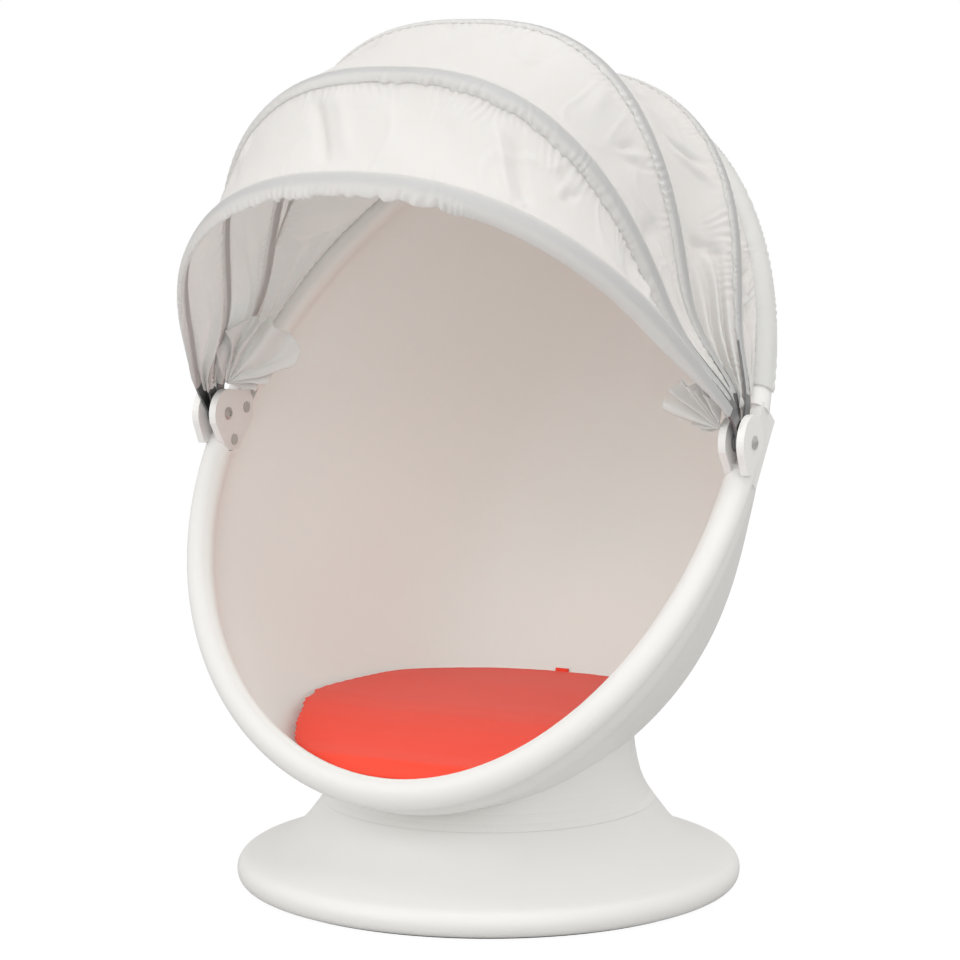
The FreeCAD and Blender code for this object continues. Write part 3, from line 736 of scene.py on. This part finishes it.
def cornerPiece(name, side, size, drop, seed):
    # Straight lines from the pinch to a curved edge, with folds that widen away from the pinch.
    # The edge's corners are rounded by averaging each point with its neighbours
    edge = np.array(corner["edge"], float)
    knots = np.linspace(0, 1, len(edge))
    t = np.linspace(0, 1, corner["rows"])
    bend = np.stack([np.interp(t, knots, edge[:, k]) for k in range(3)], axis=-1)
    blur = np.exp(-((t[:, None] - t[None, :]) / corner["blur"]) ** 2)
    bend = (blur @ bend) / blur.sum(axis=1, keepdims=True)
    pinch = np.array(corner["pinch"])
    moved = np.array([-0.5 * drop, 0, -drop])
    r = np.linspace(0.03, 1, corner["cols"])
    spread = bend - pinch
    points = pinch + moved + spread[:, None] * r[None, :, None] * size
    normal = gridNormals(points)
    t2, r2 = np.broadcast_arrays(t[:, None], r[None, :])
    wander = softNoise(t2, r2, 7, 2, seed) * 0.25
    pleat = np.sin(2 * math.pi * corner["pleats"] * (t2 + wander * 0.3))
    crumple = softNoise(t2, r2, 16, 4, seed + 1) * corner["crumple"] * r2
    points = points + normal * (pleat * corner["pleatDepth"] * r2 ** 0.8 + crumple)[..., None]
    frill = softNoise(t2, 0 * r2, 34, 1, seed + 2) * corner["scallop"] * r2 ** 4
    points = points + unit(spread)[:, None] * frill[..., None]
    points[..., 0] *= -side
    piece = gridObject(name, points, uv=gridUv(t2 * 160, r2 * 70), flip=side > 0)
    thicken(piece, hood["clothThick"])
    dress(piece, hoodPolyester)
    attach(piece, "hood_front")
    area = gridArea(points)


cornerPiece("corner_left", -1, 1.0, 0.0, 501)
cornerPiece("corner_right", 1, 0.64, 19.0, 511)
print("hood ready")


# Seat pad

padShape = {
    "under": 146.0, "frontAt": -188.0, "frontSpan": 16.0, "frontLift": 4.5, "voxel": 0.0024,
    "topFrom": 170.0, "backDrop": 5.0, "backAt": (60.0, 165.0), "sideLift": 3.0, "sideAt": (90.0, 165.0),
    "smoothing": 16, "fill": 0.7,
    "narrowAt": (-205, -150, -110, -75, -45, -20),
    "narrow": (0.88, 0.88, 0.91, 0.95, 0.985, 1.0),
}
tab = {"at": 173.4, "wide": 14.0, "thick": 1.3, "high": 2.4, "leg": 1.6, "cloth": 0.6, "cutLength": 0.01}


def padPiece():
    # The CAD cushion's shape, evened out and softened, its front corners drawn in from the wall
    mesh = nodes["seat_pad"].data.copy()
    piece = linked(bpy.data.objects.new("pad", mesh))
    work = bmesh.new()
    work.from_mesh(mesh)
    bmesh.ops.remove_doubles(work, verts=work.verts, dist=0.00002)
    bmesh.ops.recalc_face_normals(work, faces=work.faces)
    work.to_mesh(mesh)
    work.free()
    co = coordinates(mesh)
    near = np.exp(-((co[:, 1] - padShape["frontAt"]) / padShape["frontSpan"]) ** 2)
    # Thicker where it bends over the floor's edge
    co[:, 2] += (co[:, 2] > padShape["under"]) * near * padShape["frontLift"]
    setCoordinates(mesh, co)
    remesh = piece.modifiers.new("even", "REMESH")
    remesh.mode = "VOXEL"
    remesh.voxel_size = padShape["voxel"]
    remesh.use_smooth_shade = True
    smooth = piece.modifiers.new("soften", "SMOOTH")
    smooth.factor = 0.5
    smooth.iterations = padShape["smoothing"]
    bpy.context.view_layer.update()
    shown = piece.evaluated_get(bpy.context.evaluated_depsgraph_get())
    piece.data = bpy.data.meshes.new_from_object(shown)
    piece.modifiers.clear()
    co = coordinates(piece.data)
    x, y, z = co[:, 0], co[:, 1], co[:, 2]
    upper = eased(z, padShape["under"], padShape["topFrom"])
    side = padShape["sideLift"] * eased(-x, *padShape["sideAt"])
    z = z + upper * (side - padShape["backDrop"] * eased(y, *padShape["backAt"]))
    x = x * np.interp(y, padShape["narrowAt"], padShape["narrow"])
    setCoordinates(piece.data, np.stack([x, y, z], axis=-1))
    shadeSmooth(piece.data)
    dress(piece, padCover)
    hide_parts("seat_pad")
    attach(piece, "seat")


def tabPiece():
    # A short tape folded double, its ends in the pad's back seam
    box = coordinates(nodes["seat_pad_tab"].data)
    middle = (box.min(axis=0) + box.max(axis=0)) / 2
    t = np.linspace(0, math.pi, 25)
    x = np.linspace(-0.5, 0.5, 15) * tab["wide"] + middle[0]
    y = middle[1] + tab["thick"] * np.cos(t)
    z = tab["at"] + tab["high"] * np.sin(t) - tab["leg"] * np.cos(t) ** 8
    points = np.stack(np.broadcast_arrays(x[:, None], y[None, :], z[None, :]), axis=-1)
    piece = gridObject("pad_tab", points, uv=points[..., :2] * mm)
    thicken(piece, tab["cloth"])
    dress(piece, padCover)
    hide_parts("seat_pad_tab")
    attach(piece, "seat")
    gridArea(points)


padPiece()
tabPiece()
print("pad ready")


# Floor, light and camera

backdrop = {
    "floor": (0.55, 0.55, 0.55, 1),
    "glow": 1.1,
    "glowShare": 0.86,
    "reach": 12000.0,
    "seen": {"Color": (1, 1, 1, 1), "Strength": 1.0},
    "lit": {"Color": (1.0, 0.995, 0.985, 1), "Strength": 0.78},
}


def floorPiece():
    # Grey for the light, close to white for the camera, so that only the soft shadow shows
    f = Finish("floor", **{"Base Color": backdrop["floor"], "Roughness": 0.9})
    glow = f.add("ShaderNodeEmission", {}, {"Color": (1, 1, 1, 1), "Strength": backdrop["glow"]})
    f.ending(f.cameraRay() * backdrop["glowShare"], f.shader, glow)
    far = backdrop["reach"]
    corners = np.array([[[-far, -far, 0], [-far, far, 0]], [[far, -far, 0], [far, far, 0]]])
    floor = gridObject("floor", corners)
    floor.data.materials.append(f.material)


def surround():
    # White behind the object, an even soft light from everywhere else
    world = bpy.data.worlds.new("studio")
    world.use_nodes = True
    g = Graph(world.node_tree, "ShaderNodeOutputWorld")
    seen = g.add("ShaderNodeBackground", {}, backdrop["seen"])
    lit = g.add("ShaderNodeBackground", {}, backdrop["lit"])
    g.ending(g.cameraRay(), lit, seen)
    bpy.context.scene.world = world


lamps = {
    "key": {"at": (-1.5, -3.0, 1.7), "size": 2.2, "power": 28.0},
    "fill": {"at": (2.2, -2.6, 1.4), "size": 2.4, "power": 21.0},
    "top": {"at": (0.5, -0.2, 3.0), "size": 2.6, "power": 31.0},
}


lampTarget = Vector((0.0, 0.0, 0.4))


def lampPieces():
    for word, spec in lamps.items():
        light = bpy.data.lights.new(word, "AREA")
        light.size = spec["size"]
        light.energy = spec["power"]
        lamp = linked(bpy.data.objects.new(word, light))
        lamp.location = spec["at"]
        lamp.rotation_euler = (lampTarget - Vector(spec["at"])).to_track_quat("-Z", "Y").to_euler()


# Degrees, metres, and picture sizes in pixels of the photograph
view = {
    "azimuth": 26.674, "elevation": 7.306, "distance": 3.2032, "height": 0.392,
    "picture": 960, "focal": 3313.9, "left": 8.585, "sensor": 36.0,
}


def cameraPiece():
    a, e = math.radians(view["azimuth"]), math.radians(view["elevation"])
    back = Vector((math.sin(a) * math.cos(e), -math.cos(a) * math.cos(e), math.sin(e)))
    data = bpy.data.cameras.new("camera")
    camera = linked(bpy.data.objects.new("camera", data))
    camera.location = Vector((0, 0, view["height"])) + back * view["distance"]
    camera.rotation_euler = (-back).to_track_quat("-Z", "Y").to_euler()
    data.sensor_width = view["sensor"]
    data.lens = view["sensor"] * view["focal"] / view["picture"]
    data.shift_x = -view["left"] / view["picture"]
    data.clip_end = 100
    bpy.context.scene.camera = camera


floorPiece()
surround()
lampPieces()
cameraPiece()
bpy.context.scene.view_settings.view_transform = "Standard"
print("studio ready")
